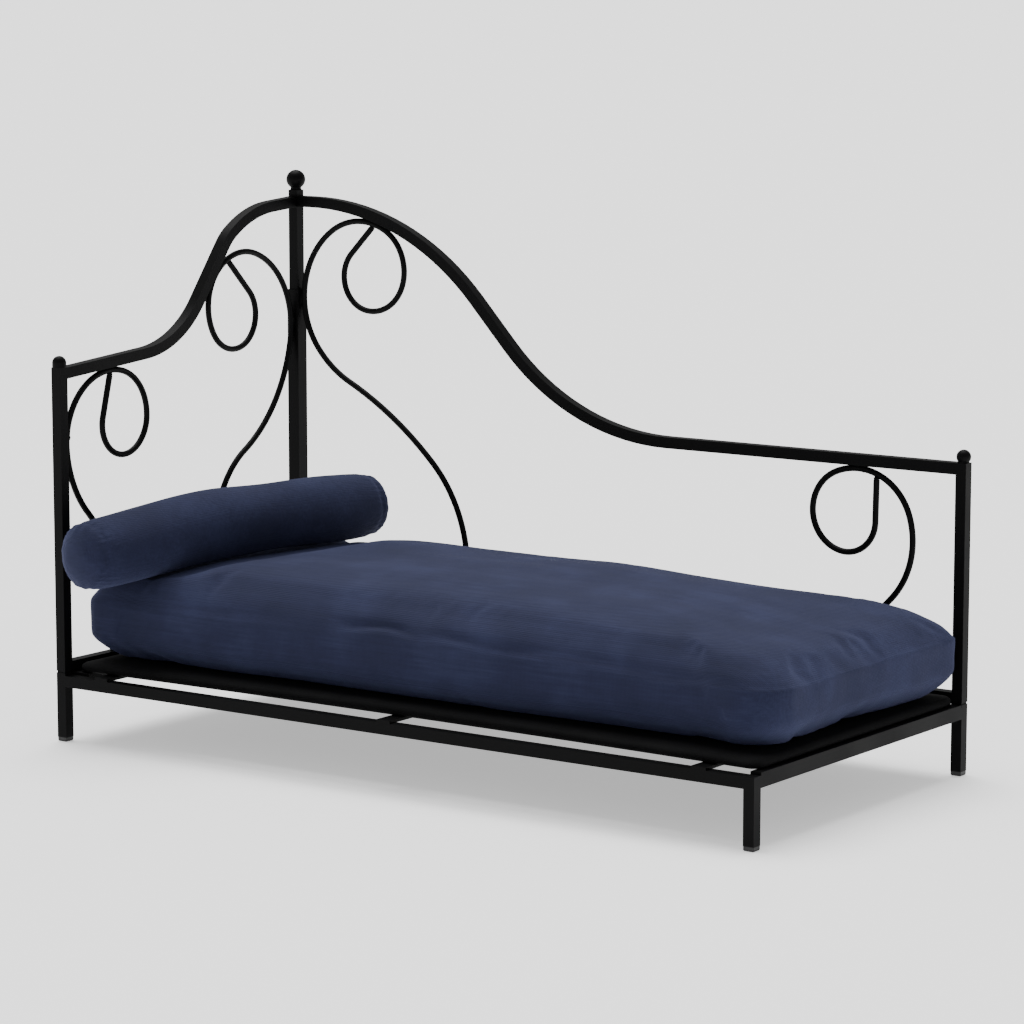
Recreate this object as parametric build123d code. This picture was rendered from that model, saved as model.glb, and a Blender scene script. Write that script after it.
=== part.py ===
from build123d import *
import math
import os

# Chaise-shaped pet day bed. A welded base of square tube on four short legs carries a deck board, a
# mattress and a bolster. Square posts plug into three of the legs and hold a side panel on the left and a
# back panel, each with a bent top rail, a lower bar and two scrolls. The front and right end are open.
# X runs left to right, Y runs front to back, Z runs up. The origin is the centre of the whole outline
# on the floor. The bolster overhangs the front, so the frame stands back by half of the overhang.

# Overall sizes, in millimetres
frame_length = 918.6  # over the finial and the right post's cap, left to right
frame_width = 437.3  # over the front posts and the finial, front to back
bolster_overhang = 34.0  # bolster tip past the front posts

# Heights of the frame
rail_top = 75.0  # upper face of the base rails
side_rail_height = 412.4  # axis of the side top rail at the front left post
back_rail_height = 331.4  # axis of the back top rail at the back right post
corner_rail_height = 579.5  # axis of both top rails at the corner post

# Square tube of the legs, posts, rails and bars
tube_size = 12.5
tube_wall = 1.2
corner_size = 16.0  # lower tube of the corner post
corner_step_drop = 104.5  # the thicker lower tube ends this far below the rail axis
corner_overlap = 40.0  # how far the thin tube reaches down into the thick one
fit_clearance = 0.1  # on each side, between a plug or spigot and its tube

# Base frame
bearer_width = 18.0
flat_thickness = 3.0  # bearers and end strips
bearer_offset = 391.0  # outer bearers, from the middle of the base
left_strip_width = 36.0
right_strip_width = 12.5

# Bends of the top rails
side_low_bend_radius = 132.0
side_shoulder_radius = 61.0
side_crest_radius = 143.0
back_crest_radius = 325.0
back_low_bend_radius = 297.0
back_level_lead = 26.0  # level run of the back rail beside the corner post
back_fall_run = 231.5  # length over which the back rail falls, between its two bends' corners
side_low_corner = 220.0  # bend corners of the side rail, forward of the corner post
side_shoulder_corner = 130.5
side_crest_corner = 89.0
side_low_rise = 15.0  # of the low bend's corner above the rail's low end
side_shoulder_drop = 35.0  # of the upper bends' corners below the rail's high end
side_crest_drop = 6.3

# Scrolls
rod_diameter = 7.0
tail_bend_share = 0.6  # share of the height left under a scroll that its last bend takes up
lead_end_gap = 6.2  # end of a scroll's inner lead to the axis of the rod it points at
right_scroll_gap = 60.0  # axis of the back right post to the outside of the right scroll

# Caps, plugs and spigots
plug_depth = 15.0
spigot_depth = 30.0
collar_height = 2.0
collar_step = 0.75  # the collar is narrower than its leg by this much all round
glide_height = 5.0
glide_edge = 1.8
cap_overhang = 1.6  # round caps are wider than the flats of their square posts by this much
post_end_gap = 0.1  # top face of a top rail, under the edge of the cap, to the top of its low post
dome_rim = 5.0  # height of the straight rim of the domed cap
ball_foot_height = 1.2  # round foot under the ball of the right post
ball_sink = 1.5  # how far the ball is cut off at its foot
corner_end_gap = 7.0  # top face of the top rails to the top of the corner post
finial_neck_height = 4.0
finial_waist_diameter = 12.4
finial_foot_diameter = 15.0
finial_ball_diameter = 22.5

# Deck board and its screws
deck_thickness = 12.0
deck_gap = 0.6  # to the posts
deck_front_gap = 2.2  # to the faces of the front posts
deck_right_overlap = 1.0  # past the axis of the right end rail
deck_corner_radius = 12.0
deck_edge_radius = 4.0
screw_diameter = 4.0
screw_head_diameter = 8.0
screw_head_height = 2.4
screw_grip = 8.0  # length of thread in the board
screw_offset = 120.0

# Mattress and bolster
mattress_left_gap = 11.8  # to the axis of the corner post
mattress_right_gap = 6.0
mattress_front_gap = 28.0
mattress_back_gap = 11.5
mattress_edge_height = 90.0
mattress_crown = 14.0
mattress_corner_radius = 32.0
mattress_edge_radius = 16.0
rest_gap = 0.3  # between a loose piece and what it lies on
bolster_diameter = 90.0
bolster_length = 450.0
bolster_end_radius = 39.0
bolster_turn = 10.6  # degrees about Z
bolster_tip_offset = 48.0  # front tip of the bolster, from the side panel

# Places worked out from the sizes above
tube_half = tube_size / 2
corner_half = corner_size / 2
rod_radius = rod_diameter / 2
cap_diameter = tube_size + 2 * cap_overhang
corner_reach = max(corner_half, finial_ball_diameter / 2)
x_left = -frame_length / 2 + corner_reach
x_right = frame_length / 2 - cap_diameter / 2
y_front = (bolster_overhang - frame_width) / 2 + tube_half
y_back = (bolster_overhang + frame_width) / 2 - corner_reach
x_middle = (x_left + x_right) / 2
y_middle = (y_front + y_back) / 2
rail_axis = rail_top - tube_half
leg_top = rail_top + flat_thickness
post_bottom = leg_top + collar_height
bar_axis = leg_top + tube_half
bar_top = leg_top + tube_size
deck_top = leg_top + deck_thickness
mattress_bottom = deck_top + rest_gap
side_rail_climb = side_low_rise / (y_back - side_low_corner - y_front)
rail_edge_height = tube_half * math.hypot(1, side_rail_climb) + cap_diameter / 2 * side_rail_climb
front_post_top = side_rail_height + rail_edge_height + post_end_gap
right_post_top = back_rail_height + tube_half + post_end_gap
corner_post_top = corner_rail_height + tube_half + corner_end_gap
corner_step_height = corner_rail_height - corner_step_drop
tube_bore = tube_size - 2 * tube_wall
corner_bore = tube_size + 2 * fit_clearance
stem_size = tube_bore - 2 * fit_clearance
bearers = {"left": x_middle - bearer_offset, "middle": x_middle, "right": x_middle + bearer_offset}

# The panels are drawn flat, with their own x along the panel and their own y up, and then set upright.
side_panel = Plane(origin=(x_left, 0, 0), x_dir=(0, 1, 0), z_dir=(1, 0, 0))
back_panel = Plane(origin=(0, y_back, 0), x_dir=(1, 0, 0), z_dir=(0, -1, 0))

parts = {}


def rod(x, y, bottom, top, diameter):
    """An upright round bar."""
    return Pos(x, y, (bottom + top) / 2) * Cylinder(diameter / 2, top - bottom)


def bar(x, y, bottom, top, size):
    """An upright square bar."""
    return Pos(x, y, (bottom + top) / 2) * Box(size, size, top - bottom)


def pipe(x, y, bottom, top, size, bore):
    """An upright square tube."""
    return bar(x, y, bottom, top, size) - bar(x, y, bottom, top, bore)


# Base: legs, glides, rails, bearers, strips

leg_places = {
    "front_left": (x_left, y_front),
    "front_right": (x_right, y_front),
    "back_left": (x_left, y_back),
    "back_right": (x_right, y_back),
}


def glide(x, y):
    """A square foot cap with a rounded sole and a stem that is pushed into the leg."""
    foot = bar(0, 0, 0, glide_height, tube_size)
    foot = fillet(foot.edges().filter_by(Axis.Z), glide_edge / 2)
    foot = fillet(foot.edges().group_by(Axis.Z)[0], glide_edge)
    return Pos(x, y, 0) * (foot + bar(0, 0, glide_height, glide_height + plug_depth, stem_size))


for name, (x, y) in leg_places.items():
    top = rail_top if name == "front_right" else leg_top
    parts[f"leg_{name}"] = pipe(x, y, glide_height, top, tube_size, tube_bore)
    parts[f"glide_{name}"] = glide(x, y)


def base_rail(x, y, length, along_x):
    """A square tube that butts between two legs."""
    if along_x:
        tube = Box(length, tube_size, tube_size) - Box(length, tube_bore, tube_bore)
    else:
        tube = Box(tube_size, length, tube_size) - Box(tube_bore, length, tube_bore)
    return Pos(x, y, rail_axis) * tube


parts["front_rail"] = base_rail(x_middle, y_front, x_right - x_left - tube_size, True)
parts["back_rail"] = base_rail(x_middle, y_back, x_right - x_left - tube_size, True)
parts["left_end_rail"] = base_rail(x_left, y_middle, y_back - y_front - tube_size, False)
parts["right_end_rail"] = base_rail(x_right, y_middle, y_back - y_front - tube_size, False)

strip_axis = rail_top + flat_thickness / 2
screw_rows = (y_middle - screw_offset, y_middle + screw_offset)


def screw(x, y):
    """A pan-head screw that comes up through a bearer into the deck board."""
    head = rod(x, y, rail_top - screw_head_height, rail_top, screw_head_diameter)
    head = fillet(head.edges().sort_by(Axis.Z)[0], screw_head_height / 2)
    return head + rod(x, y, rail_top, leg_top + screw_grip, screw_diameter)


screws = []
for name, x in bearers.items():
    flat = Pos(x, y_middle, strip_axis) * Box(bearer_width, y_back - y_front + tube_size, flat_thickness)
    for y in screw_rows:
        flat -= rod(x, y, rail_top, leg_top, screw_diameter)
        screws.append(screw(x, y))
    parts[f"bearer_{name}"] = flat
parts["deck_screws"] = Compound(children=screws)

strip_length = y_back - y_front - tube_size - 2 * deck_gap
left_strip_x = x_left + (left_strip_width - tube_size) / 2
right_strip_x = x_right - (right_strip_width - tube_size) / 2
parts["left_end_strip"] = Pos(left_strip_x, y_middle, strip_axis) * Box(
    left_strip_width, strip_length, flat_thickness
)
parts["right_end_strip"] = Pos(right_strip_x, y_middle, strip_axis) * Box(
    right_strip_width, strip_length, flat_thickness
)

# Posts, with the spigots that join them to the legs


def spigot(x, y, post_bore):
    """A stepped pin that fits the leg below and the post above, with a collar that carries the post."""
    lower = bar(x, y, leg_top - spigot_depth, leg_top, stem_size)
    collar = bar(x, y, leg_top, post_bottom, tube_size - 2 * collar_step)
    upper = bar(x, y, post_bottom, post_bottom + spigot_depth, post_bore - 2 * fit_clearance)
    return lower + collar + upper


parts["front_left_post"] = pipe(x_left, y_front, post_bottom, front_post_top, tube_size, tube_bore)
parts["back_right_post"] = pipe(x_right, y_back, post_bottom, right_post_top, tube_size, tube_bore)
parts["corner_post_lower"] = pipe(
    x_left, y_back, post_bottom, corner_step_height, corner_size, corner_bore
)
parts["corner_post_upper"] = pipe(
    x_left, y_back, corner_step_height - corner_overlap, corner_post_top, tube_size, tube_bore
)
parts["spigot_front_left"] = spigot(x_left, y_front, tube_bore)
parts["spigot_back_right"] = spigot(x_right, y_back, tube_bore)
parts["spigot_back_left"] = spigot(x_left, y_back, corner_bore)

# Caps and plugs. The posts are closed by round caps with square stems.

cap_stem = bar(0, 0, -plug_depth, 0, stem_size)


def upper_part(solid):
    """The part of a solid above the plane z = 0."""
    return solid & Pos(0, 0, corner_size * 2) * Box(corner_size * 4, corner_size * 4, corner_size * 4)


def front_post_dome():
    """A round cap with a straight rim and a half ball on top."""
    dome = upper_part(Sphere(cap_diameter / 2))
    return Pos(0, 0, dome_rim) * dome + rod(0, 0, 0, dome_rim, cap_diameter) + cap_stem


def right_post_ball():
    """A ball cut flat at its foot, on a low round foot as wide as the post."""
    ball = upper_part(Pos(0, 0, cap_diameter / 2 - ball_sink) * Sphere(cap_diameter / 2))
    return ball + rod(0, 0, 0, ball_foot_height, tube_size) + cap_stem


def corner_finial():
    """A turned finial: a waisted neck with a ball on top."""
    foot_radius = finial_foot_diameter / 2
    waist_radius = finial_waist_diameter / 2
    ball_radius = finial_ball_diameter / 2
    ball_centre = finial_neck_height + math.sqrt(ball_radius**2 - foot_radius**2)
    outline = [
        Line((0, 0), (foot_radius, 0)),
        ThreePointArc(
            (foot_radius, 0),
            (waist_radius, finial_neck_height / 2),
            (foot_radius, finial_neck_height),
        ),
        ThreePointArc(
            (foot_radius, finial_neck_height),
            (ball_radius, ball_centre),
            (0, ball_centre + ball_radius),
        ),
        Line((0, ball_centre + ball_radius), (0, 0)),
    ]
    return revolve(Plane.XZ * make_face(outline), Axis.Z) + cap_stem


parts["front_left_dome"] = Pos(x_left, y_front, front_post_top) * front_post_dome()
parts["back_right_ball"] = Pos(x_right, y_back, right_post_top) * right_post_ball()
parts["corner_finial"] = Pos(x_left, y_back, corner_post_top) * corner_finial()
# The leg without a post is closed by a flat plug, flush with its end.
parts["front_right_plug"] = bar(x_right, y_front, rail_top - plug_depth, rail_top, stem_size)

# Top rails and lower bars


def bent_tube(path):
    """A square tube along a flat path."""
    section = Rectangle(tube_size, tube_size) - Rectangle(tube_bore, tube_bore)
    return sweep(Plane(origin=path @ 0, x_dir=(0, 0, 1), z_dir=path % 0) * section, path=path)


# The side rail climbs gently from the low post, turns steeply up and levels out over the shoulder.
side_path = FilletPolyline(
    (y_front, side_rail_height),
    (y_back - side_low_corner, side_rail_height + side_low_rise),
    (y_back - side_shoulder_corner, corner_rail_height - side_shoulder_drop),
    (y_back - side_crest_corner, corner_rail_height - side_crest_drop),
    (y_back, corner_rail_height),
    radius=[side_low_bend_radius, side_shoulder_radius, side_crest_radius],
)

# The back rail leaves the corner level, sweeps down and runs level to the low right post.
fall_angle = math.atan2(corner_rail_height - back_rail_height, back_fall_run)
crest_corner = x_left + back_level_lead + back_crest_radius * math.tan(fall_angle / 2)
back_path = FilletPolyline(
    (x_left, corner_rail_height),
    (crest_corner, corner_rail_height),
    (crest_corner + back_fall_run, back_rail_height),
    (x_right, back_rail_height),
    radius=[back_crest_radius, back_low_bend_radius],
)


def cope(tube):
    """Cuts the ends of a rail or bar to the faces of the posts."""
    tube -= bar(x_left, y_front, 0, front_post_top, tube_size)
    tube -= bar(x_right, y_back, 0, right_post_top, tube_size)
    tube -= bar(x_left, y_back, 0, corner_step_height, corner_size)
    tube -= bar(x_left, y_back, corner_step_height, corner_post_top, tube_size)
    return tube


parts["side_top_rail"] = cope(side_panel * bent_tube(side_path))
parts["back_top_rail"] = cope(back_panel * bent_tube(back_path))
parts["side_lower_bar"] = cope(side_panel * bent_tube(Line((y_front, bar_axis), (y_back, bar_axis))))
parts["back_lower_bar"] = cope(back_panel * bent_tube(Line((x_left, bar_axis), (x_right, bar_axis))))

# Scrolls. Each is one rod: a straight lead in the middle of the coil, then bends of growing radius round
# the coil, over the top and down the outside, and a tail that straightens down to the lower bar.


def coil_path(heading, bends):
    """The lead and the coil, from the inner end outwards. Bends are (radius, turn in degrees)."""
    direction = Vector(math.cos(math.radians(heading)), math.sin(math.radians(heading)))
    coil = []
    start, tangent = Vector(0, 0), direction
    for radius, turn in bends:
        coil.append(JernArc(start=start, tangent=tangent, radius=radius, arc_size=turn))
        start, tangent = coil[-1] @ 1, coil[-1] % 1
    outer = Wire(coil[2:])
    lead = 0.0
    for _ in range(40):
        tip = Vertex(*(direction * -lead))
        lead += tip.distance_to(outer) - lead_end_gap
    return Wire([Line(direction * -lead, (0, 0))] + coil)


def raised_to(coil, rail_path):
    """Lifts a coil from below until its rod touches the rail above it."""
    touching = tube_half + rod_radius
    for _ in range(30):
        coil = coil.translate((0, coil.distance_to(rail_path) - touching, 0))
    return coil


def tail_edges(coil, run_share):
    """A straight run, a last bend that turns the rod straight down, and a straight run to the bar."""
    direction = coil % 1
    run = (coil @ 1).Y - bar_top
    edges = []
    start = coil @ 1
    if run_share > 0:
        start = start + direction * (run * run_share / abs(direction.Y))
        edges.append(Line(coil @ 1, start))
    height = start.Y - bar_top
    turn = math.degrees(math.atan2(direction.X, -direction.Y))
    radius = tail_bend_share * height / abs(math.sin(math.radians(turn)))
    bend = JernArc(start=start, tangent=direction, radius=radius, arc_size=-turn)
    return edges + [bend, Line(bend @ 1, ((bend @ 1).X, bar_top))]


def scroll(coil, rail_path, panel, run_share):
    """A finished scroll rod in its panel, that stands on the lower bar and touches the rail."""
    low = coil.translate((0, -coil.bounding_box().max.Y + bar_axis, 0))
    seated = raised_to(low, rail_path)
    path = Wire(list(seated.edges()) + tail_edges(seated, run_share))
    solid = sweep(Plane(origin=path @ 0, z_dir=path % 0) * Circle(rod_radius), path=path)
    return panel * solid


def against_low_side(coil, place):
    """Moves a coil along its panel until its outside is at place, on the side of lower x."""
    return coil.translate((place - coil.bounding_box().min.X, 0, 0))


def against_high_side(coil, place):
    """The same, on the side of higher x."""
    return coil.translate((place - coil.bounding_box().max.X, 0, 0))


side_front_coil = coil_path(-105, [(36, 124), (42, 70), (55, 78), (76, 107), (121, 40)])
side_rear_coil = coil_path(
    -45, [(38, -120), (44, -71), (58, -87), (70, -54), (94, -84), (181, -49), (108, 36)]
)
back_left_coil = coil_path(
    -134, [(39, 126), (48, 94), (54, 66), (75, 63), (97, 93), (132, 26), (453, -19), (170, -37)]
)
back_right_coil = coil_path(-91, [(36, -101), (44, -81), (47, -63), (68, -97), (92, -61)])

side_front_coil = against_low_side(side_front_coil, y_front + tube_half + rod_radius)
side_rear_coil = against_high_side(side_rear_coil, y_back - corner_half - rod_radius)
back_left_coil = against_low_side(back_left_coil, x_left + corner_half + rod_radius)
back_right_coil = against_high_side(back_right_coil, x_right - right_scroll_gap)

parts["scroll_side_front"] = scroll(side_front_coil, side_path, side_panel, 0.0)
parts["scroll_side_rear"] = scroll(side_rear_coil, side_path, side_panel, 0.35)
parts["scroll_back_left"] = scroll(back_left_coil, back_path, back_panel, 0.0)
parts["scroll_back_right"] = scroll(back_right_coil, back_path, back_panel, 0.3)

# Deck board, mattress and bolster

deck_left = x_left + corner_half + deck_gap
deck_right = x_right + deck_right_overlap
deck_front = y_front + tube_half + deck_front_gap
deck_back = y_back - corner_half - deck_gap


def deck():
    board = Box(deck_right - deck_left, deck_back - deck_front, deck_thickness)
    board = fillet(board.edges().filter_by(Axis.Z), deck_corner_radius)
    rims = board.edges().group_by(Axis.Z)[0] + board.edges().group_by(Axis.Z)[-1]
    board = fillet(rims, deck_edge_radius)
    middle = ((deck_left + deck_right) / 2, (deck_front + deck_back) / 2)
    board = Pos(middle[0], middle[1], leg_top + deck_thickness / 2) * board
    for x in bearers.values():
        for y in screw_rows:
            board -= rod(x, y, leg_top, leg_top + screw_grip, screw_diameter)
    return board


parts["deck_board"] = deck()

mattress_left = x_left + mattress_left_gap
mattress_right = x_right - mattress_right_gap
mattress_front = y_front + mattress_front_gap
mattress_back = y_back - mattress_back_gap
mattress_length = mattress_right - mattress_left
mattress_width = mattress_back - mattress_front
mattress_shoulder = mattress_bottom + mattress_edge_height


def mattress():
    """A soft box whose top is crowned along its length."""
    middle = (mattress_left + mattress_right) / 2
    crown = ThreePointArc(
        (mattress_left, mattress_shoulder),
        (middle, mattress_shoulder + mattress_crown),
        (mattress_right, mattress_shoulder),
    )
    sides = Polyline(
        (mattress_right, mattress_shoulder),
        (mattress_right, mattress_bottom),
        (mattress_left, mattress_bottom),
        (mattress_left, mattress_shoulder),
    )
    block = extrude(Plane.XZ * make_face([crown, sides]), amount=-mattress_width)
    block = Pos(0, mattress_front, 0) * block
    block = fillet(block.edges().filter_by(Axis.Z), mattress_corner_radius)
    rims = block.edges().group_by(Axis.Z)[0]
    block = fillet(rims, mattress_edge_radius)
    upper = block.edges().filter_by(lambda edge: edge.center().Z > mattress_shoulder - 1)
    return fillet(upper, mattress_edge_radius)


parts["mattress"] = mattress()


def bolster():
    """A round pillow with rounded ends, turned to lie across the left end of the mattress."""
    roll = Cylinder(bolster_diameter / 2, bolster_length)
    roll = fillet(roll.edges().filter_by(GeomType.CIRCLE), bolster_end_radius)
    roll = Rot(0, 0, -bolster_turn) * Rot(90, 0, 0) * roll
    reach = bolster_length / 2
    turn = math.radians(bolster_turn)
    front_gap = -frame_width / 2 - bolster_overhang / 2 - roll.bounding_box().min.Y
    x = x_left + bolster_tip_offset + reach * math.sin(turn)
    roll = Pos(x, front_gap, deck_top + bolster_length) * roll
    for _ in range(30):
        roll = roll.translate((0, 0, rest_gap - roll.distance_to(parts["mattress"])))
    return roll


parts["bolster"] = bolster()

os.makedirs("parts", exist_ok=True)
for name, shape in parts.items():
    export_step(shape, f"parts/{name}.step")
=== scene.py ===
import math

import bpy
from mathutils import Matrix, Vector, noise
from mathutils.bvhtree import BVHTree


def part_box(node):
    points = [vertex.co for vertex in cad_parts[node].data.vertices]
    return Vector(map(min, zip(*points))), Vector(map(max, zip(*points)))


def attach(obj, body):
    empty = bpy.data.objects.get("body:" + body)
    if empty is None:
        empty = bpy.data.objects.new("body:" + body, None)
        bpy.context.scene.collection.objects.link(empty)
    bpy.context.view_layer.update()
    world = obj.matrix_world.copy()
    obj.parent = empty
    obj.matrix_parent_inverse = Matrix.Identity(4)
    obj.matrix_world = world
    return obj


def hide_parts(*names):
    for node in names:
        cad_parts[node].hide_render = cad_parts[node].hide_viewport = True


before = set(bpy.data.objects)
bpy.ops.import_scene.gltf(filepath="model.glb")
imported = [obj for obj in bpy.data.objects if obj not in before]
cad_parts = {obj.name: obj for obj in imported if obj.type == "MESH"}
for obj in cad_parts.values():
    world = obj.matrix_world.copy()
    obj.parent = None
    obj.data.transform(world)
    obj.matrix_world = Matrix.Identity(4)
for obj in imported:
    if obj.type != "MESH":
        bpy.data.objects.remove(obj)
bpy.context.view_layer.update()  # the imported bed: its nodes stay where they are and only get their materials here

# Frame paint. Every rail, post, bar and scroll is mild steel, welded, then powder coated satin black in
# one go. The coat is about 0.1 mm thick with a fine orange peel and no bare edges.
bpy.ops.object.select_all(action="DESELECT")


def hex_colour(code, alpha=1.0):
    """A linear colour from an sRGB hex code."""
    channels = [int(code[i : i + 2], 16) / 255 for i in (1, 3, 5)]
    linear = [c / 12.92 if c <= 0.04045 else ((c + 0.055) / 1.055) ** 2.4 for c in channels]
    return (*linear, alpha)


def add_node(tree, kind, settings=(), links=()):
    """Adds a shader node. Settings are its properties or inputs by name, links its inputs and sockets."""
    made = tree.nodes.new(kind)
    for name, value in dict(settings).items():
        if isinstance(name, str) and hasattr(made, name):
            setattr(made, name, value)
        else:
            made.inputs[name].default_value = value
    for name, socket in dict(links).items():
        tree.links.new(socket, made.inputs[name])
    return made


def new_material(name):
    """A material with only an output and a principled shader, returned with both."""
    material = bpy.data.materials.new(name)
    material.use_nodes = True
    tree = material.node_tree
    tree.nodes.clear()
    shader = add_node(tree, "ShaderNodeBsdfPrincipled")
    output = add_node(tree, "ShaderNodeOutputMaterial")
    tree.links.new(shader.outputs["BSDF"], output.inputs["Surface"])
    return material, tree, shader


def blend_colours(tree, factor, stops):
    """Colours between stops of (position, hex), along a factor."""
    ramp = add_node(tree, "ShaderNodeValToRGB", links={"Fac": factor})
    elements = ramp.color_ramp.elements
    while len(elements) < len(stops):
        elements.new(0.5)
    for element, (place, code) in zip(elements, stops):
        element.position = place
        element.color = hex_colour(code)
    return ramp.outputs["Color"]


def powder_coat():
    """Satin black polyester powder coat, sprayed and baked: near black, with soft wide highlights."""
    coat_orange_peel = 0.0011  # metres from crest to crest of the orange peel
    coat_patches = 0.06  # slow change of gloss along a tube
    peel_depth = 0.0002
    material, tree, shader = new_material("powder_coat_satin_black")
    place = add_node(tree, "ShaderNodeTexCoord").outputs["Object"]
    patches = add_node(
        tree, "ShaderNodeTexNoise", {"Scale": 1 / coat_patches, "Detail": 3.0}, {"Vector": place}
    )
    peel = add_node(
        tree, "ShaderNodeTexNoise", {"Scale": 1 / coat_orange_peel, "Detail": 2.0}, {"Vector": place}
    )
    colour = blend_colours(tree, patches.outputs["Fac"], [(0.3, "#060606"), (0.7, "#0a0a0b")])
    gloss = add_node(
        tree,
        "ShaderNodeMapRange",
        {"From Min": 0.3, "From Max": 0.7, "To Min": 0.42, "To Max": 0.52},
        {"Value": patches.outputs["Fac"]},
    )
    bump = add_node(
        tree, "ShaderNodeBump", {"Strength": 0.12, "Distance": peel_depth}, {"Height": peel.outputs["Fac"]}
    )
    tree.links.new(colour, shader.inputs["Base Color"])
    tree.links.new(gloss.outputs["Result"], shader.inputs["Roughness"])
    tree.links.new(bump.outputs["Normal"], shader.inputs["Normal"])
    shader.inputs["Specular IOR Level"].default_value = 0.06
    return material


def paint(names, material):
    """Puts one material in every slot of the named nodes."""
    for name in names:
        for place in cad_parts[name].material_slots:
            place.material = material


coat = powder_coat()
loose = {"deck_board", "mattress", "bolster"}
plastic = {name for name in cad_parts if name.startswith("glide_")}
painted = set(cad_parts) - loose - plastic - {"deck_screws"}
paint(painted, coat)

# Glides. Each foot cap is moulded black polyethylene, a little greyer and duller than the paint, pushed
# into its leg and scuffed where it has slid on the floor.


def polyethylene():
    """Injection-moulded black polyethylene: a dull skin with a fine spark-eroded grain."""
    mould_grain = 0.0006
    grain_depth = 0.0001
    scuff_height = 0.003  # the scuffed skin fades out this far above the floor
    material, tree, shader = new_material("polyethylene_moulded_black")
    place = add_node(tree, "ShaderNodeTexCoord").outputs["Object"]
    grain = add_node(
        tree, "ShaderNodeTexNoise", {"Scale": 1 / mould_grain, "Detail": 3.0}, {"Vector": place}
    )
    height = add_node(tree, "ShaderNodeSeparateXYZ", links={"Vector": place}).outputs["Z"]
    scuff = add_node(
        tree,
        "ShaderNodeMapRange",
        {"From Min": 0.0, "From Max": scuff_height, "To Min": 0.72, "To Max": 0.5},
        {"Value": height},
    )
    colour = blend_colours(tree, grain.outputs["Fac"], [(0.35, "#0e0e0f"), (0.65, "#141415")])
    bump = add_node(
        tree, "ShaderNodeBump", {"Strength": 0.2, "Distance": grain_depth}, {"Height": grain.outputs["Fac"]}
    )
    tree.links.new(colour, shader.inputs["Base Color"])
    tree.links.new(scuff.outputs["Result"], shader.inputs["Roughness"])
    tree.links.new(bump.outputs["Normal"], shader.inputs["Normal"])
    return material


paint(plastic, polyethylene())

# Deck screws. Six zinc-plated pan-head screws come up through the three bearers, two in each, and hold
# the deck board.


def zinc_plate():
    """Bright zinc on steel wire: a pale grey metal with small cloudy spangles."""
    spangle = 0.0015
    material, tree, shader = new_material("zinc_plated_steel")
    place = add_node(tree, "ShaderNodeTexCoord").outputs["Object"]
    cloud = add_node(tree, "ShaderNodeTexVoronoi", {"Scale": 1 / spangle}, {"Vector": place})
    colour = blend_colours(tree, cloud.outputs["Distance"], [(0.0, "#a9aaab"), (0.8, "#c3c4c3")])
    rough = add_node(
        tree,
        "ShaderNodeMapRange",
        {"From Min": 0.0, "From Max": 0.8, "To Min": 0.28, "To Max": 0.42},
        {"Value": cloud.outputs["Distance"]},
    )
    tree.links.new(colour, shader.inputs["Base Color"])
    tree.links.new(rough.outputs["Result"], shader.inputs["Roughness"])
    shader.inputs["Metallic"].default_value = 1.0
    return material


paint({"deck_screws"}, zinc_plate())

# Mattress. A foam and fibre pad in a navy brushed cotton cover. The cover is cut as a box with a low
# side band, so the pad crowns in the middle and its edges lift off the deck.


def pick(piece, kind, test):
    """Selects the vertices, edges or faces of a piece that pass a test, and leaves it in edit mode."""
    bpy.ops.object.select_all(action="DESELECT")
    bpy.context.view_layer.objects.active = piece
    piece.select_set(True)
    bpy.ops.object.mode_set(mode="EDIT")
    bpy.ops.mesh.select_mode(type=kind)
    bpy.ops.mesh.select_all(action="DESELECT")
    bpy.ops.object.mode_set(mode="OBJECT")
    data = piece.data
    items = {"VERT": data.vertices, "EDGE": data.edges, "FACE": data.polygons}[kind]
    for item in items:
        item.select = test(item)
    bpy.ops.object.mode_set(mode="EDIT")


def done_editing(piece):
    """Back to object mode, with the piece's place put into its mesh."""
    bpy.ops.object.mode_set(mode="OBJECT")
    bpy.ops.object.transform_apply(location=True, rotation=True, scale=True)
    return piece


def use_modifier(piece, kind, settings):
    """Adds a modifier with its settings and applies it."""
    bpy.context.view_layer.objects.active = piece
    modifier = piece.modifiers.new(kind.lower(), kind)
    for name, value in settings.items():
        setattr(modifier, name, value)
    bpy.ops.object.modifier_apply(modifier=modifier.name)


mattress_low, mattress_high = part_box("mattress")
bolster_low, bolster_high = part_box("bolster")
pad_bottom = mattress_low.z
left_bulge, right_bulge, top_bulge = 0.0075, 0.012, 0.004  # the cover swells past the plain pad
cover_low = Vector((mattress_low.x - left_bulge, mattress_low.y, pad_bottom))
cover_high = Vector((mattress_high.x + right_bulge, mattress_high.y, mattress_high.z + top_bulge))
cover_middle = (cover_low + cover_high) / 2
cover_half = (cover_high - cover_low) / 2
band_bottom, band_top = 0.022, 0.066  # height of the upright part of the side band above the deck

# Rings of the cover above and below the band: inset along X, inset along Y, height above the deck
upper_rings = [
    (0.005, 0.003, 0.071),
    (0.020, 0.008, 0.081),
    (0.050, 0.016, 0.089),
    (0.100, 0.036, 0.096),
    (0.160, 0.070, 0.101),
    (0.240, 0.120, 0.105),
]
lower_rings = [(0.012, 0.011, 0.012), (0.024, 0.029, 0.004), (0.042, 0.052, 0.0)]
plan_corner = 0.014  # how far the upright corners are rounded
front_right_corner = 0.045  # the filling is thin there, so the corner is rounder

bpy.ops.mesh.primitive_cube_add(size=1, location=(0, 0, 0))
mattress = bpy.context.object
mattress.name = "mattress_pad"
mattress.scale = (2 * cover_half.x, 2 * cover_half.y, band_top - band_bottom)
mattress.location = (cover_middle.x, cover_middle.y, pad_bottom + (band_bottom + band_top) / 2)
bpy.ops.object.transform_apply(location=True, rotation=True, scale=True)


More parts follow.
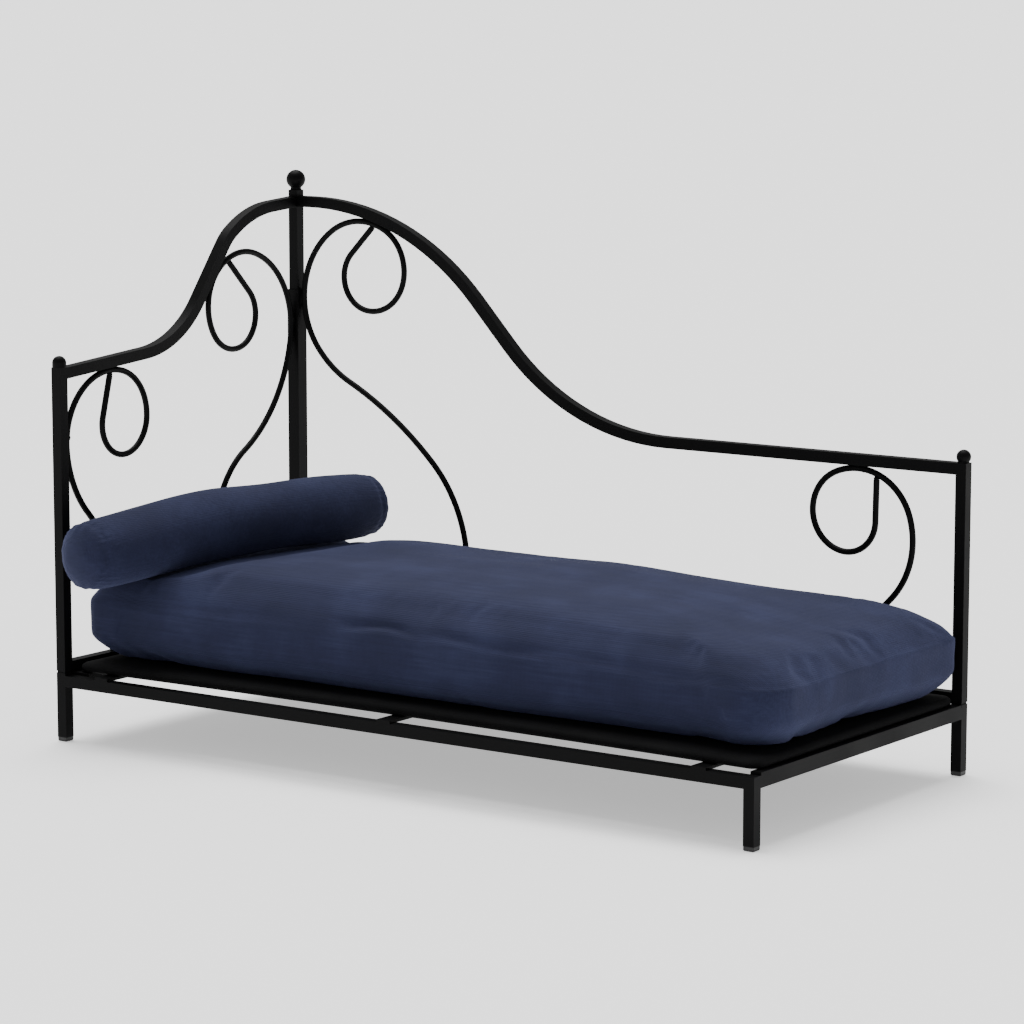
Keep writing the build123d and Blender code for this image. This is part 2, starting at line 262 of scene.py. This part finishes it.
def upright(edge):
    a, b = (mattress.data.vertices[i].co for i in edge.vertices)
    return abs(a.z - b.z) > 0.5 * (band_top - band_bottom) and abs(a.x - b.x) + abs(a.y - b.y) < 1e-5


def grow_rings(way, height, rings):
    """Extrudes the upper (way 1) or lower (way -1) face of the mattress through rings."""
    inset_x = inset_y = 0.0
    for next_x, next_y, next_height in rings:
        end = max(way * v.co.z for v in mattress.data.vertices)
        pick(mattress, "FACE", lambda face: way * face.normal.z > 0.9 and way * face.center.z > end - 0.0005)
        bpy.ops.mesh.extrude_region_move(
            TRANSFORM_OT_translate={"value": (0, 0, next_height - height)}
        )
        shrink_x = (cover_half.x - next_x) / (cover_half.x - inset_x)
        shrink_y = (cover_half.y - next_y) / (cover_half.y - inset_y)
        bpy.ops.transform.resize(value=(shrink_x, shrink_y, 1), center_override=cover_middle)
        bpy.ops.object.mode_set(mode="OBJECT")
        inset_x, inset_y, height = next_x, next_y, next_height


def at_front_right(edge):
    corner = mattress.data.vertices[edge.vertices[0]].co
    return upright(edge) and corner.x > cover_middle.x and corner.y < cover_middle.y


pick(mattress, "EDGE", lambda edge: upright(edge) and not at_front_right(edge))
bpy.ops.mesh.bevel(offset=plan_corner, segments=4, affect="EDGES")
bpy.ops.object.mode_set(mode="OBJECT")
pick(mattress, "EDGE", at_front_right)
bpy.ops.mesh.bevel(offset=front_right_corner, segments=6, affect="EDGES")
bpy.ops.object.mode_set(mode="OBJECT")
grow_rings(1, band_top, upper_rings)
grow_rings(-1, band_bottom, lower_rings)
done_editing(mattress)
mattress_grid = 0.006
use_modifier(mattress, "REMESH", {"mode": "VOXEL", "voxel_size": mattress_grid})
use_modifier(mattress, "SMOOTH", {"factor": 0.5, "iterations": 7})

# The seam between the side band and the top panel runs round the cover at this height above the deck.
seam_height = 0.070
seam_wander = 0.004
seam_half_width = 0.0035
pad_seam = []
for point in mattress.data.vertices:
    above = point.co.z - pad_bottom - seam_height - seam_wander * math.sin(point.co.x * 9)
    pad_seam.append(math.exp(-((above / seam_half_width) ** 2)))


swell_frames = 20


def swell(piece, pressure, cap):
    """Swells a cover by cloth simulation under inner pressure, with no point moving further than cap."""
    start = [point.co.copy() for point in piece.data.vertices]
    bpy.context.view_layer.objects.active = piece
    cloth = piece.modifiers.new("cover", "CLOTH")
    cloth.settings.use_pressure = True
    cloth.settings.uniform_pressure_force = pressure
    cloth.settings.effector_weights.gravity = 0
    cloth.settings.quality = 5
    cloth.settings.bending_stiffness = 0.3
    cloth.collision_settings.use_collision = False
    cloth.point_cache.frame_start = 1
    cloth.point_cache.frame_end = swell_frames
    for step in range(1, swell_frames + 1):
        bpy.context.scene.frame_set(step)
    bpy.ops.object.modifier_apply(modifier=cloth.name)
    bpy.context.scene.frame_set(1)
    for point, before in zip(piece.data.vertices, start):
        moved = point.co - before
        if moved.length > cap:
            point.co = before + moved * (cap / moved.length)


swell(mattress, pressure=4.0, cap=0.012)

# The bolster's line is needed here too, because the mattress takes its shape under it.
bolster_turn = math.radians(10.6)
bolster_length = 0.450
bolster_radius = (bolster_high.z - bolster_low.z) / 2
bolster_middle = (bolster_low + bolster_high) / 2
bolster_axis = Vector((math.sin(bolster_turn), math.cos(bolster_turn), 0))
hollow = 0.6 * bolster_radius  # half width of the part of the roll that the mattress touches
hollow_reach = 0.105  # the hollow fades out at this distance from the roll's axis


def fade(value, start, end):
    """A smooth step from 0 at start to 1 at end."""
    share = max(0.0, min(1.0, (value - start) / (end - start)))
    return share * share * (3 - 2 * share)


sag = 0.015  # how far the front end of the roll hangs down
roll_gap = 0.0008  # between the roll and the mattress under it
end_dip = 0.010  # the mattress falls away from the roll's rounded ends


def roll_drop(along):
    """How far the roll sags at a place along its axis, towards the front end that nothing holds up."""
    return sag * fade(-along, 0.02 * bolster_length, 0.46 * bolster_length)


def under_bolster(place):
    """The height to which the mattress fits itself under the roll, and how closely it does so there."""
    along = (place - bolster_middle).dot(bolster_axis)
    across = (place - bolster_middle) - bolster_axis * along
    side = math.hypot(across.x, across.y)
    touch = min(side, hollow)
    height = bolster_middle.z - math.sqrt(bolster_radius**2 - touch**2) - roll_gap
    height -= end_dip * fade(abs(along), 0.36 * bolster_length, 0.5 * bolster_length) + roll_drop(along)
    near = 1 - fade(side, hollow, hollow_reach)
    edge = min(place.x - cover_low.x, place.y - cover_low.y, cover_high.y - place.y)
    return height, near * fade(edge, 0.004, 0.050)


# Creases where the cover is loose along its front, as start and end (x from the left end, height above
# the deck, both as shares of the cover), half width and depth in metres
pad_creases = [
    ((0.11, 0.68), (0.36, 0.64), 0.0050, 0.0012),
    ((0.375, 0.72), (0.52, 0.685), 0.0032, 0.0060),
    ((0.50, 0.690), (0.72, 0.64), 0.0040, 0.0038),
    ((0.70, 0.655), (0.93, 0.60), 0.0045, 0.0020),
    ((0.28, 0.45), (0.45, 0.42), 0.0080, 0.0008),
    ((0.60, 0.38), (0.80, 0.36), 0.0080, 0.0008),
]


def crease_depth(place):
    """How far the creases draw a place on the front of the cover in."""
    crease_wander = 0.0022
    total = 0.0
    here = Vector((place.x, place.z))
    for start, end, width, depth in pad_creases:
        a = Vector((cover_low.x + 2 * cover_half.x * start[0], cover_low.z + 2 * cover_half.z * start[1]))
        b = Vector((cover_low.x + 2 * cover_half.x * end[0], cover_low.z + 2 * cover_half.z * end[1]))
        run = b - a
        share = (here - a).dot(run) / run.length_squared
        wander = crease_wander * math.sin(share * 8.0 + a.x * 31.0)
        away = (run.x * (here.y - a.y) - run.y * (here.x - a.x)) / run.length - wander
        taper = fade(share, 0.0, 0.3) * (1 - fade(share, 0.7, 1.0))
        valley = math.exp(-((away / width) ** 2))
        ridge = 0.5 * math.exp(-(((away + 2 * width) / (1.5 * width)) ** 2))
        total += depth * taper * (valley - ridge)
    return total


def fit_to_cover():
    """Scales the swollen mattress back to the length and width of its cover."""
    points = mattress.data.vertices
    for axis in (0, 1):
        low = min(p.co[axis] for p in points)
        high = max(p.co[axis] for p in points)
        scale = (cover_high[axis] - cover_low[axis]) / (high - low)
        for point in points:
            point.co[axis] = cover_low[axis] + (point.co[axis] - low) * scale


wrinkle_depth = 0.0014  # of the loose cloth
lump_depth = 0.0022  # of the uneven filling under it
seam_depth = 0.0012
right_end_drop = 0.010  # the filling is thinner towards the right end


def settle_mattress():
    """Lays the mattress flat on the deck, fits it under the bolster and draws in its creases and seam."""
    data = mattress.data
    normals = [v.normal.copy() for v in data.vertices]
    floor = pad_bottom + 0.0004
    rail_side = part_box("side_top_rail")[1].x + 0.0004  # the pad is lifted out past the side rail
    for point, normal, seam in zip(data.vertices, normals, pad_seam):
        place = point.co.copy()
        loose_cloth = noise.noise(Vector((place.x * 9, place.y * 26, place.z * 26)))
        filling = noise.noise(Vector((place.x * 6 + 4, place.y * 8, place.z * 8)))
        side = 1.0 - abs(normal.z)
        point.co += normal * (wrinkle_depth * loose_cloth + lump_depth * filling)
        point.co -= normal * (seam_depth * seam * min(1.0, 2 * side))
        if place.y < cover_middle.y:
            front = fade(-normal.y, 0.0, 0.35)
            point.co -= normal * (front * crease_depth(place))
        if normal.z > 0.1:
            right = fade(place.x, 0.1 * cover_half.x, cover_half.x)
            point.co.z -= right_end_drop * right * normal.z
            height, near = under_bolster(point.co)
            share = near * fade(normal.z, 0.1, 0.6)
            point.co.z += share * (height - point.co.z)
            point.co.z = min(point.co.z, height) if near > 0.5 else point.co.z
        point.co.z = max(point.co.z, floor)
        point.co.x = max(point.co.x, rail_side)


fit_to_cover()
settle_mattress()
use_modifier(mattress, "SUBSURF", {"levels": 1, "render_levels": 1})


def woven_height(tree, place, thread, wave_settings, joined):
    """The height of a weave: threads along X, Y and Z, joined by a maths operation."""
    weave = None
    for axis in "XYZ":
        settings = {"bands_direction": axis, "Scale": math.pi / (10 * thread), **wave_settings}
        yarns = add_node(tree, "ShaderNodeTexWave", settings, {"Vector": place}).outputs["Fac"]
        if weave is None:
            weave = yarns
        else:
            weave = add_node(tree, "ShaderNodeMath", {"operation": joined}, {0: weave, 1: yarns})
            weave = weave.outputs["Value"]
    return weave


def brushed_cotton(name, along):
    """Navy brushed cotton twill: uneven yarns along one way, and a nap that greys at grazing angles."""
    thread = 0.0016  # yarns are 0.5 mm apart, drawn coarser so that they show
    slub_length, slub_width = 0.09, 0.0035
    fade_patch = 0.07
    yarn_depth, slub_depth = 0.0004, 0.0008
    material, tree, shader = new_material(name)
    place = add_node(tree, "ShaderNodeTexCoord").outputs["Object"]
    turned = add_node(
        tree, "ShaderNodeMapping", {"Rotation": (0, 0, along)}, {"Vector": place}
    ).outputs["Vector"]
    stretched = add_node(
        tree,
        "ShaderNodeMapping",
        {"Scale": (1 / slub_length, 1 / slub_width, 1 / slub_width)},
        {"Vector": turned},
    ).outputs["Vector"]
    slubs = add_node(
        tree, "ShaderNodeTexNoise", {"Scale": 1.0, "Detail": 4.0, "Roughness": 0.6}, {"Vector": stretched}
    ).outputs["Fac"]
    patches = add_node(
        tree, "ShaderNodeTexNoise", {"Scale": 1 / fade_patch, "Detail": 3.0}, {"Vector": place}
    ).outputs["Fac"]
    weave = woven_height(tree, turned, thread, {"Distortion": 0.6, "Detail": 1.0}, "ADD")
    mixed = add_node(tree, "ShaderNodeMath", {"operation": "MULTIPLY_ADD", 1: 0.55}, {0: slubs, 2: patches})
    shade = blend_colours(
        tree,
        mixed.outputs["Value"],
        [(0.45, "#1a1d31"), (0.75, "#1f2239"), (0.98, "#262a43")],
    )
    yarn_bump = add_node(
        tree, "ShaderNodeBump", {"Strength": 0.35, "Distance": yarn_depth}, {"Height": weave}
    ).outputs["Normal"]
    slub_bump = add_node(
        tree,
        "ShaderNodeBump",
        {"Strength": 0.4, "Distance": slub_depth},
        {"Height": slubs, "Normal": yarn_bump},
    ).outputs["Normal"]
    tree.links.new(shade, shader.inputs["Base Color"])
    tree.links.new(slub_bump, shader.inputs["Normal"])
    shader.inputs["Roughness"].default_value = 0.92
    shader.inputs["Specular IOR Level"].default_value = 0.2
    shader.inputs["Sheen Weight"].default_value = 0.25
    shader.inputs["Sheen Roughness"].default_value = 0.5
    shader.inputs["Sheen Tint"].default_value = hex_colour("#7d86b8")
    return material


def finish_piece(piece, material, body, smooth=math.radians(60)):
    """Gives a finished piece its material, smooth shading and body."""
    bpy.ops.object.select_all(action="DESELECT")
    bpy.context.view_layer.objects.active = piece
    piece.select_set(True)
    bpy.ops.object.shade_smooth_by_angle(angle=smooth)
    piece.data.materials.clear()
    piece.data.materials.append(material)
    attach(piece, body)


finish_piece(mattress, brushed_cotton("cotton_brushed_navy_mattress", 0.0), "mattress")
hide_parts("mattress")

# Bolster. A fibre-filled roll in the same cotton, with round ends sewn in and a little gathered. It is
# loose, and lies askew across the left end of the mattress.

end_swell = 0.004
end_rounding = 0.018  # length of the rounded part of each end
end_steps = ((0.007, 0.006), (0.010, 0.007), (0.010, 0.004))  # inset and rise of each end's rings
bolster_grid = 0.004
bpy.ops.object.select_all(action="DESELECT")
bpy.ops.mesh.primitive_cylinder_add(
    vertices=48,
    radius=bolster_radius - end_swell,
    depth=bolster_length - 2 * end_rounding,
    location=(0, 0, 0),
)
bolster = bpy.context.object
bolster.name = "bolster_roll"
half = bolster_length / 2 - end_rounding
for inset, rise in end_steps:
    for way in (1, -1):
        end = max(way * v.co.z for v in bolster.data.vertices)
        pick(bolster, "FACE", lambda face: way * face.normal.z > 0.9 and way * face.center.z > end - 0.001)
        bpy.ops.mesh.inset(thickness=inset)
        bpy.ops.transform.translate(value=(0, 0, way * rise))
        bpy.ops.object.mode_set(mode="OBJECT")
use_modifier(bolster, "SUBSURF", {"levels": 2, "render_levels": 2})
use_modifier(bolster, "REMESH", {"mode": "VOXEL", "voxel_size": bolster_grid})
end_seam = half - 0.004  # the end seams, from the middle of the roll
end_seam_width = 0.003
roll_seam = [math.exp(-(((abs(v.co.z) - end_seam) / end_seam_width) ** 2)) for v in bolster.data.vertices]
swell(bolster, pressure=4.0, cap=0.006)

gathers = 34  # small pleats round each end seam
pleat_depth, pleat_reach = 0.0010, 0.020
roll_lump_depth = 0.0022
waist_depth, waist_place, waist_reach = 0.0020, 0.06, 0.05  # a slight hollow past the middle
roll_seam_depth = 0.0016
roll_limit = bolster_radius - 0.0004
for point, seam in zip(bolster.data.vertices, roll_seam):
    out = Vector((point.co.x, point.co.y, 0))
    if out.length < 1e-5:
        continue
    around = math.atan2(out.y, out.x)
    along = point.co.z
    near_end = math.exp(-(((half - abs(along)) / pleat_reach) ** 2))
    uneven = 3.0 * noise.noise(Vector((around, along * 5, 0)))
    pleats = pleat_depth * near_end * math.sin(gathers * around + uneven)
    soft = roll_lump_depth * noise.noise(Vector((out.x * 22, out.y * 22, along * 7)))
    waist = -waist_depth * math.exp(-(((along - waist_place) / waist_reach) ** 2))
    length = min(roll_limit, out.length + pleats + soft + waist - roll_seam_depth * seam)
    out = out.normalized() * length
    point.co = Vector((out.x, out.y, along))
lie = Matrix.Translation(bolster_middle) @ bolster_axis.to_track_quat("Z", "Y").to_matrix().to_4x4()
for point in bolster.data.vertices:
    along = point.co.z
    point.co = lie @ point.co
    point.co.z -= roll_drop(along)
use_modifier(bolster, "SUBSURF", {"levels": 1, "render_levels": 1})
finish_piece(
    bolster, brushed_cotton("cotton_brushed_navy_bolster", bolster_turn), "bolster"
)
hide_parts("bolster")

# Deck. A thin board wrapped in black woven polyester, stapled under its edges. The cloth rounds the
# corners, sags a little towards them and pulls the long front edge in.

deck_low, deck_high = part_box("deck_board")
deck_corner, deck_edge = 0.016, 0.0045
deck_grid = 0.003
bpy.ops.object.select_all(action="DESELECT")
bpy.ops.mesh.primitive_cube_add(size=1)
deck = bpy.context.object
deck.name = "deck_panel_cloth"
deck.scale = deck_high - deck_low
deck.location = (deck_low + deck_high) / 2
bpy.ops.object.transform_apply(location=True, rotation=True, scale=True)


def deck_upright(edge):
    a, b = (deck.data.vertices[i].co for i in edge.vertices)
    return abs(a.z - b.z) > 0.001


pick(deck, "EDGE", deck_upright)
bpy.ops.mesh.bevel(offset=deck_corner, segments=6, affect="EDGES")
bpy.ops.object.mode_set(mode="OBJECT")
pick(deck, "EDGE", lambda edge: not deck_upright(edge))
bpy.ops.mesh.bevel(offset=deck_edge, segments=4, affect="EDGES")
bpy.ops.object.mode_set(mode="OBJECT")
use_modifier(deck, "REMESH", {"mode": "VOXEL", "voxel_size": deck_grid})
front_pull = 0.009  # the cloth draws the middle of the front edge in
edge_sag, edge_sag_reach = 0.0028, 0.020
deck_wrinkle = 0.0005
deck_middle = (deck_low + deck_high) / 2
deck_half = (deck_high - deck_low) / 2
for point in deck.data.vertices:
    u = (point.co.x - deck_middle.x) / deck_half.x
    v = (point.co.y - deck_middle.y) / deck_half.y
    if v < 0:
        point.co.y += front_pull * (1 - u * u) * v * v
    edge_gap = min(deck_half.x * (1 - abs(u)), deck_half.y * (1 - abs(v)))
    if point.co.z > deck_middle.z:
        point.co.z -= edge_sag * math.exp(-edge_gap / edge_sag_reach) * (0.35 + 0.65 * u * u)
        point.co.z += deck_wrinkle * noise.noise(point.co * 18)
    point.co.z = min(point.co.z, deck_high.z)


def woven_polyester():
    """Black woven polyester cover cloth: dull, with a tight plain weave and a faint shine on the yarns."""
    thread = 0.0015  # yarns are 0.4 mm apart, drawn coarser so that they show
    yarn_depth = 0.0003
    material, tree, shader = new_material("polyester_woven_black")
    place = add_node(tree, "ShaderNodeTexCoord").outputs["Object"]
    weave = woven_height(tree, place, thread, {"Distortion": 0.4}, "MULTIPLY")
    dust = add_node(tree, "ShaderNodeTexNoise", {"Scale": 30.0, "Detail": 5.0}, {"Vector": place})
    colour = blend_colours(tree, dust.outputs["Fac"], [(0.3, "#060607"), (0.7, "#0b0b0c")])
    bump = add_node(tree, "ShaderNodeBump", {"Strength": 0.35, "Distance": yarn_depth}, {"Height": weave})
    tree.links.new(colour, shader.inputs["Base Color"])
    tree.links.new(bump.outputs["Normal"], shader.inputs["Normal"])
    shader.inputs["Roughness"].default_value = 0.9
    shader.inputs["Specular IOR Level"].default_value = 0.12
    return material


finish_piece(deck, woven_polyester(), "frame")
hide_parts("deck_board")

# Welds. Each scroll is welded where it touches its rail and its post, round its foot on the lower bar,
# and where its inner end meets its own coil. The beads are painted over with the frame.

weld_search = 0.012  # how far from a partner a rod is searched for the place where they touch
weld_step = 0.001
rod_radius = 0.0035


def surface(name):
    """A search tree of a node's faces."""
    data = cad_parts[name].data
    return BVHTree.FromPolygons([v.co for v in data.vertices], [f.vertices for f in data.polygons])


def edge_points(name, near, reach):
    """Points on the edges of a node that lie within reach of a surface."""
    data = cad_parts[name].data
    corners = [v.co.copy() for v in data.vertices]
    close = [near.find_nearest(c, reach)[0] is not None for c in corners]
    points = []
    for edge in data.edges:
        start, end = edge.vertices
        if close[start] or close[end]:
            run = corners[end] - corners[start]
            steps = max(1, min(60, int(run.length / weld_step)))
            points += [corners[start] + run * (step / steps) for step in range(steps + 1)]
    return points


def contact(rod, partner):
    """The middle of the place where a rod touches its partner, and the way that the rod runs there."""
    near = surface(partner)
    points = [(near.find_nearest(p), p) for p in edge_points(rod, near, weld_search)]
    points = sorted(((hit[3], p, hit[0]) for hit, p in points if hit[0] is not None), key=lambda t: t[0])
    best = points[0]
    touching = [t for t in points if t[0] < best[0] + 0.0001 and (t[1] - best[1]).length < 0.02]
    place = sum(((t[1] + t[2]) / 2 for t in touching), Vector()) / len(touching)
    around = [t[1] for t in points if (t[1] - place).length < weld_search - weld_step]
    far = max(around, key=lambda p: (p - place).length)
    return place, (far - place).normalized()


def rod_ends(name):
    """The middle and the outward direction of each flat end of a rod."""
    groups = {}
    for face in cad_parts[name].data.polygons:
        key = tuple(round(c, 2) for c in face.normal)
        groups.setdefault((key, round(face.center.dot(face.normal), 3)), []).append(face)
    ends = []
    for faces in groups.values():
        area = sum(face.area for face in faces)
        middle = sum((face.center * face.area for face in faces), Vector()) / area
        reach = max((face.center - middle).length for face in faces)
        if area > 0.65 * math.pi * rod_radius**2 and reach < rod_radius:
            ends.append((middle, faces[0].normal.copy()))
    return ends


def weld_bead(name, place, run, size):
    """A small lump of weld metal, longer along the rods than across them."""
    bpy.ops.object.select_all(action="DESELECT")
    bpy.ops.mesh.primitive_uv_sphere_add(segments=20, ring_count=12, radius=1, location=(0, 0, 0))
    bead = bpy.context.object
    bead.name = name
    for point in bead.data.vertices:
        ripple = 1 + 0.08 * math.sin(point.co.z * 9.0) + 0.08 * noise.noise(point.co * 2.3 + place * 40)
        point.co = Vector((point.co.x * ripple, point.co.y * ripple, point.co.z)) * Vector(size)
    turn = run.to_track_quat("Z", "Y").to_matrix().to_4x4()
    bead.data.transform(Matrix.Translation(place) @ turn)
    finish_piece(bead, coat, "frame")


web_size = (0.0027, 0.0030, 0.0115)  # a bead between two members that run side by side
foot_size = (0.0050, 0.0050, 0.0019)  # a bead round the foot of a rod
tip_size = (0.0033, 0.0033, 0.0030)  # a bead that joins the inner end of a scroll to its coil
foot_rise, tip_reach = 0.0008, 0.0014  # from the flat end of the rod to the middle of its bead
scroll_welds = {
    "scroll_side_front": ("side_top_rail", "front_left_post"),
    "scroll_side_rear": ("side_top_rail", "corner_post_lower"),
    "scroll_back_left": ("back_top_rail", "corner_post_lower"),
    "scroll_back_right": ("back_top_rail",),
}
for scroll, partners in scroll_welds.items():
    for partner in partners:
        place, run = contact(scroll, partner)
        weld_bead(f"weld_{scroll}_{partner}", place, run, web_size)
    for place, way in rod_ends(scroll):
        if way.z < -0.99:
            weld_bead(f"weld_{scroll}_foot", place - way * foot_rise, way, foot_size)
        else:
            weld_bead(f"weld_{scroll}_tip", place + way * tip_reach, way, tip_size)

# Floor, light and camera. A plain pale floor, faintly lit from below like a light table, with soft
# studio light from a wide lamp overhead.

floor_size = 300  # wide enough to run out of sight
lamp_tilt, lamp_turn, lamp_spread = -10, -14, 50  # degrees
camera_rise, camera_turn = 8.54, 35.34  # degrees above the horizon, and round from the front
camera_lens = 133.43
bpy.ops.object.select_all(action="DESELECT")
bpy.ops.mesh.primitive_plane_add(size=floor_size, location=(0, 0, 0))
floor = bpy.context.object
floor.name = "studio_floor"
material, tree, shader = new_material("studio_paper")
shader.inputs["Base Color"].default_value = hex_colour("#f6f6f6")
shader.inputs["Roughness"].default_value = 0.9
shader.inputs["Emission Color"].default_value = hex_colour("#ffffff")
shader.inputs["Emission Strength"].default_value = 0.55
floor.data.materials.append(material)

world = bpy.data.worlds.new("studio")
world.use_nodes = True
world.node_tree.nodes["Background"].inputs["Color"].default_value = hex_colour("#ffffff")
world.node_tree.nodes["Background"].inputs["Strength"].default_value = 0.48
bpy.context.scene.world = world

bpy.ops.object.light_add(type="SUN", rotation=(math.radians(lamp_tilt), math.radians(lamp_turn), 0))
lamp = bpy.context.object
lamp.name = "lamp_soft_overhead"
lamp.data.energy = 4.0
lamp.data.angle = math.radians(lamp_spread)

bpy.ops.object.camera_add(
    location=(2.3632, -3.2980, 0.8826),
    rotation=(math.radians(90 - camera_rise), 0, math.radians(camera_turn)),
)
camera = bpy.context.object
camera.data.sensor_width = 36
camera.data.lens = camera_lens
bpy.context.scene.camera = camera
